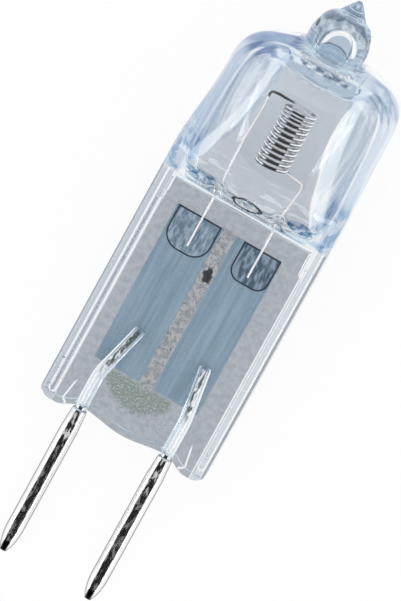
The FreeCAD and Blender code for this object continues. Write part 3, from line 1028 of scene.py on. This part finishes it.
# %% Sizes of the gas space
floor_z = 18.0
floor_reach = 4.43
floor_depth = 1.20
inner_radius = 4.95
inner_knuckle = 1.90
inner_slope = math.radians(12)
inner_sweep = math.pi / 2 - inner_slope
inner_crown_radius = inner_radius - inner_knuckle + inner_knuckle * math.sin(inner_slope)
wall_top = 25.80
inner_top = 28.15
leg_x = {"left": -2.17, "right": 2.19}
inner_points = 240
inner_wave = 0.0035
print("wall of the bulb:", round(bulb_radius - inner_radius, 2), "mm")


# %% Lines of points inside
def floor_rise(x):
    """The glass of the floor climbs where a leg goes through, and hangs a little between."""
    climb = sum(math.exp(-(((x - at) / 0.42) ** 2)) for at in leg_x.values())
    pip = math.exp(-(((x + 0.2) / 0.35) ** 2))
    return 0.38 * climb + 0.22 * pip - 0.12


def inner_line(reach_x, reach_y, z, offset=0.0, wave=0.0, rise=0.0, crumple=0.0):
    """One oval inside, with the slight waves that the tube kept from its drawing."""
    line = []
    for i in range(inner_points):
        angle = 2 * math.pi * i / inner_points
        swell = math.sin(5 * angle + 0.7) + 0.6 * math.sin(13 * angle + 2.0)
        swell += 0.4 * math.sin(29 * angle + 1.1)
        x = offset + reach_x * math.cos(angle) * (1 + wave * swell)
        y = reach_y * math.sin(angle) * (1 + wave * swell)
        fold = math.sin(17 * angle + 0.4) + 0.7 * math.sin(31 * angle)
        fold += 0.5 * math.sin(43 * angle + 2.2)
        line.append((x, y, z + rise * floor_rise(x) + crumple * fold + crown_tilt(x, z + 1.0)))
    return line


print("the floor rises", round(floor_rise(leg_x["left"]), 2), "mm at the left leg")

# %% The inner skin
floor_bend = 0.45
inner = []
for i in range(7):
    bend = math.radians(90 * i / 6)
    inner.append(
        inner_line(
            mix(floor_reach - 0.30, floor_reach + 0.12, math.sin(bend)),
            mix(0.0, floor_depth + 0.75, math.sin(bend)),
            floor_z + floor_bend * (1 - math.cos(bend)),
            rise=1 - 0.5 * i / 6,
        )
    )
for i in range(1, 41):
    z = mix(floor_z + floor_bend, wall_top, i / 40)
    depth = mix(floor_depth, inner_radius, opened(z) - 0.06 * (1 - i / 40))
    reach = mix(floor_reach + 0.12, inner_radius, ease((z - floor_z) / 1.6))
    centre = bulb_offset * drawn_in(z)
    inner.append(inner_line(reach, depth, z, centre, inner_wave * i / 40, rise=max(0.5 - i / 8, 0)))
for i in range(1, 13):
    bend = inner_sweep * i / 12
    radius = inner_radius - inner_knuckle + inner_knuckle * math.cos(bend)
    knuckle_z = wall_top + inner_knuckle * math.sin(bend)
    inner.append(inner_line(radius, radius, knuckle_z, bulb_offset, inner_wave))
for i in range(1, 25):
    radius = mix(inner_crown_radius, 1.10, i / 24)
    centre = bulb_offset * (1 - i / 24)
    crease = math.exp(-(((radius - 2.0) / 0.28) ** 2))
    crown_height = inner_top - 0.077 * radius**1.5 - 0.16 * crease
    inner.append(inner_line(radius, radius, crown_height, centre, 0.002, crumple=0.035 * crease))
bore = [(1.00, 28.15), (0.95, 28.35), (0.95, 29.0), (0.95, 29.6), (0.92, 30.0)]
bore += [(0.84, 30.35), (0.68, 30.65), (0.46, 30.86), (0.22, 30.97), (0.0, 31.0)]
inner += [inner_line(radius, radius, z) for radius, z in bore]
inside = skin("inside", inner)
pick(inside)
bpy.ops.object.mode_set(mode="EDIT")
bpy.ops.mesh.select_all(action="SELECT")
bpy.ops.mesh.flip_normals()
bpy.ops.object.mode_set(mode="OBJECT")
print("inside:", len(inside.data.vertices), "points")

# %% [markdown]
# ## The leads and their channels
#
# Each lead is a straight wire that bends softly and leans in to its foil. When the hot glass
# closed round it, a narrow channel stayed open along it, which is why the leads look as if they
# lay in glass tubes. A curve with a round bevel gives the wire. A thicker wire on the same line
# is cut out of the outer skin with a Boolean, so the channel fits the lead at every point.


# %% Wires as curves
def wire(name, points, radius, sides=3):
    """A round wire through these points, as a mesh with closed ends."""
    bpy.ops.curve.primitive_nurbs_path_add()
    piece = bpy.context.object
    piece.name = name
    curve = piece.data
    curve.splines.clear()
    spline = curve.splines.new("POLY")
    spline.points.add(len(points) - 1)
    for point, place in zip(spline.points, points):
        point.co = (*place, 1)
    curve.dimensions = "3D"
    curve.bevel_depth = radius
    curve.bevel_resolution = sides
    curve.use_fill_caps = True
    pick(piece)
    bpy.ops.object.convert(target="MESH")
    bpy.ops.object.shade_smooth_by_angle(angle=math.radians(50))
    return bpy.context.object


def arc_points(low, bend, high, count):
    """Points on a soft bend from low to high that leans towards the bend's corner."""
    shares = [i / count for i in range(1, count)]
    return [tuple(low * (1 - s) ** 2 + bend * 2 * s * (1 - s) + high * s**2) for s in shares]


print("helpers:", wire.__name__, "and", arc_points.__name__)

# %% The leads' own lines
lead_bend_z = 3.0
lead_bend_reach = 0.5
lead_end_z = 6.8
lead_foot = -2.88
lead_end_x = {"left": -2.20, "right": 2.66}
sides = {"left": -1, "right": 1}


def lead_line(side, bottom_z, beyond=0.0):
    """Straight up, a soft bend, then leaning in to the lead's end on the foil."""
    x = sides[side] * pin_x
    bend = Vector((x, 0, lead_bend_z))
    end = Vector((lead_end_x[side], 0, lead_end_z))
    onward = (end - bend).normalized()
    low = bend - Vector((0, 0, lead_bend_reach))
    high = bend + onward * lead_bend_reach
    points = [(x, 0, mix(bottom_z, low.z, i / 8)) for i in range(9)]
    points += arc_points(low, bend, high, 8)
    return points + [tuple(high.lerp(end + onward * beyond, i / 8)) for i in range(9)]


print("the left lead ends at", [round(c, 2) for c in lead_line("left", lead_foot)[-1]])

# %% The channels that the leads lie in
lead_radius = 0.35
channel_gap = 0.11
for side in sides:
    channel = wire("channel", lead_line(side, -0.6, channel_gap), lead_radius + channel_gap, sides=6)
    cut = outside.modifiers.new("channel", "BOOLEAN")
    cut.operation = "DIFFERENCE"
    cut.solver = "EXACT"
    cut.object = channel
    pick(outside)
    bpy.ops.object.modifier_apply(modifier=cut.name)
    bpy.data.objects.remove(channel)
print("outside, with channels:", len(outside.data.polygons), "faces")

# %% One glass from its two skins
pick(outside, inside)
bpy.ops.object.join()
envelope = bpy.context.object
envelope.data.materials.clear()
envelope.data.materials.append(glass)
finish_piece(envelope, "quartz_envelope", "quartz_glass", "glass_envelope")

# %% [markdown]
# ## The filament
#
# It is one wire: up one leg, round the coil twelve times and down the other leg. A Screw
# modifier makes a good coil but not the legs that go on from it. One list of points for all
# three gives a wire without seams, and the legs' corners are rounded as a bent wire's are.

# %% The filament's wire
coil_radius = 0.995
coil_turns = 12
coil_pitch = 0.366
coil_bottom = 20.85
turn_points = 32
wire_radius = 0.1
coil_top = coil_bottom + coil_turns * coil_pitch
leg_y = 0.19
leg_end_z = {"left": 13.35, "right": 13.50}
leg_bend = {"left": 0.25, "right": 0.35}
leg_corner = {
    "left": (-2.38, coil_radius, coil_top - 0.10),
    "right": (2.34, coil_radius, coil_bottom - 0.35),
}


def rounded_leg(start, side):
    """A leg's points, from the coil round its corner and down to its end on the foil."""
    start = Vector(start)
    corner = Vector(leg_corner[side])
    foot = Vector((leg_x[side], leg_y, 18.45))
    before = corner + (start - corner).normalized() * leg_bend[side]
    after = corner + (foot - corner).normalized() * leg_bend[side]
    points = [tuple(start.lerp(before, i / 3)) for i in range(4)]
    points += arc_points(before, corner, after, 6) + [tuple(after)]
    points += [tuple(after.lerp(foot, i / 6)) for i in range(1, 7)]
    return points + [(leg_x[side], leg_y, leg_end_z[side])]


coil = []
for i in range(coil_turns * turn_points + 1):
    turned_by = 2 * math.pi * (i / turn_points + 0.25)
    coil_z = coil_bottom + coil_pitch * i / turn_points
    coil.append((coil_radius * math.cos(turned_by), coil_radius * math.sin(turned_by), coil_z))
right_leg = rounded_leg(coil[0], "right")
left_leg = rounded_leg(coil[-1], "left")
filament = wire("filament", right_leg[:0:-1] + coil + left_leg[1:], wire_radius)
filament.data.materials.append(wire_metal)
finish_piece(filament, "coiled_filament", "filament_wire", "filament")

# %% [markdown]
# ## The foils and their weld tabs
#
# Quartz can't be sealed to a wire, only to foil a few hundredths of a millimetre thick, whose
# edges are etched to a feather. So the current goes from leg to foil to lead. The legs are welded
# on through a small D of foil. A thin box with a bevel makes the foil; the D is a box with its
# two lower corners bevelled round and its face inset, which gives the dark edge its own faces.

# %% Foils
foil_x = {"left": -2.36, "right": 1.98}
foil_width = 3.35
foil_thickness = 0.05
foil_height = 11.8
foil_y = 0.385
foil_z = 9.6
feather = 0.02
for side in sides:
    bpy.ops.mesh.primitive_cube_add(size=1)
    foil = bpy.context.object
    foil.scale = (foil_width, foil_thickness, foil_height)
    foil.location = (foil_x[side], foil_y, foil_z)
    pick(foil)
    bpy.ops.object.transform_apply(location=True, rotation=True, scale=True)
    bevel = foil.modifiers.new("feather edge", "BEVEL")
    bevel.width = feather
    bpy.ops.object.modifier_apply(modifier=bevel.name)
    foil.data.materials.append(foil_metal)
    finish_piece(foil, "sealing_foil_" + side, "sealing_foil", "foil_" + side)

# %% Weld tabs
tab_x = {"left": -2.34, "right": 2.26}
tab_reach = {"left": 1.56, "right": 1.355}
tab_height = {"left": 2.80, "right": 2.62}
tab_round = {"left": 1.20, "right": 0.85}
tab_top = 15.5
tab_y = 0.33
tab_thickness = 0.06
rim_width = 0.10


def select_low_corners(piece, low_z):
    """Select the two short edges at the tab's lower corners, in edit mode."""
    bpy.ops.object.mode_set(mode="EDIT")
    bpy.ops.mesh.select_mode(type="EDGE")
    bpy.ops.mesh.select_all(action="DESELECT")
    bpy.ops.object.mode_set(mode="OBJECT")
    for edge in piece.data.edges:
        ends = [piece.data.vertices[i].co for i in edge.vertices]
        across_it = abs(ends[0].y - ends[1].y) > 0.01
        edge.select = across_it and ends[0].z < low_z
    bpy.ops.object.mode_set(mode="EDIT")


for side in sides:
    reach, height = tab_reach[side], tab_height[side]
    bpy.ops.mesh.primitive_cube_add(size=1, location=(tab_x[side], tab_y, tab_top - height / 2))
    tab = bpy.context.object
    tab.scale = (2 * reach, tab_thickness, height)
    pick(tab)
    bpy.ops.object.transform_apply(location=True, rotation=True, scale=True)
    select_low_corners(tab, tab_top - height / 2)
    bpy.ops.mesh.bevel(offset=tab_round[side], segments=12, affect="EDGES")
    bpy.ops.mesh.select_mode(type="FACE")
    bpy.ops.mesh.select_all(action="DESELECT")
    bpy.ops.object.mode_set(mode="OBJECT")
    for face in tab.data.polygons:
        face.select = face.normal.y < -0.9
    bpy.ops.object.mode_set(mode="EDIT")
    bpy.ops.mesh.inset(thickness=rim_width, depth=0.0)
    bpy.ops.object.mode_set(mode="OBJECT")
    tab.data.materials.append(tab_metal)
    tab.data.materials.append(rim_metal)
    for face in tab.data.polygons:
        face.material_index = 0 if face.select else 1
    finish_piece(tab, "weld_tab_" + side + "_etched", "weld_tab", "weld_tab_" + side)

# %% [markdown]
# ## The lead wires
#
# The same line that cut the channels now makes the leads, a little thinner and further down, so
# that each ends in its pin.

# %% Lead wires
for side in sides:
    lead = wire("lead", lead_line(side, lead_foot), lead_radius, sides=6)
    lead.data.materials.append(lead_metal)
    finish_piece(lead, "lead_" + side, "lead_wire", "lead_wire_" + side)

# %% [markdown]
# ## The contact pins
#
# A pin is a turned sleeve, crimped on the lead under a small collar and tapered at its end to
# find its hole. Spinning a profile leaves a seam to merge. Instead a disc is extruded upwards in
# steps, and each step is scaled about the pin's own middle to the next radius of the profile.

# %% Pins
pin_points = 48
pin_profile = [(0.25, -10.90), (0.42, -10.52), (0.53, -10.10), (0.595, -9.65), (0.625, -9.20)]
pin_profile += [(0.625, -5.0), (0.625, -1.36), (0.61, -1.24), (0.595, -1.15), (0.57, -0.70)]
pin_profile += [(0.53, -0.10), (0.50, 0.04), (0.42, 0.11), (0.35, 0.12)]
for side in sides:
    radius, z = pin_profile[0]
    middle_x = sides[side] * pin_x
    bpy.ops.mesh.primitive_circle_add(
        vertices=pin_points, radius=radius, fill_type="NGON", location=(middle_x, 0, z)
    )
    pin = bpy.context.object
    bpy.ops.object.transform_apply(location=True, rotation=True, scale=True)
    bpy.ops.object.mode_set(mode="EDIT")
    for next_radius, next_z in pin_profile[1:]:
        bpy.ops.mesh.extrude_region_move(TRANSFORM_OT_translate={"value": (0, 0, next_z - z)})
        ratio = next_radius / radius
        bpy.ops.transform.resize(value=(ratio, ratio, 1), center_override=(middle_x, 0, next_z))
        radius, z = next_radius, next_z
    bpy.ops.mesh.select_all(action="SELECT")
    bpy.ops.mesh.normals_make_consistent(inside=False)
    bpy.ops.object.mode_set(mode="OBJECT")
    bpy.ops.object.shade_smooth_by_angle(angle=math.radians(35))
    pin.data.materials.append(pin_metal)
    finish_piece(pin, "pin_" + side, "contact_pin", "contact_pin_" + side)
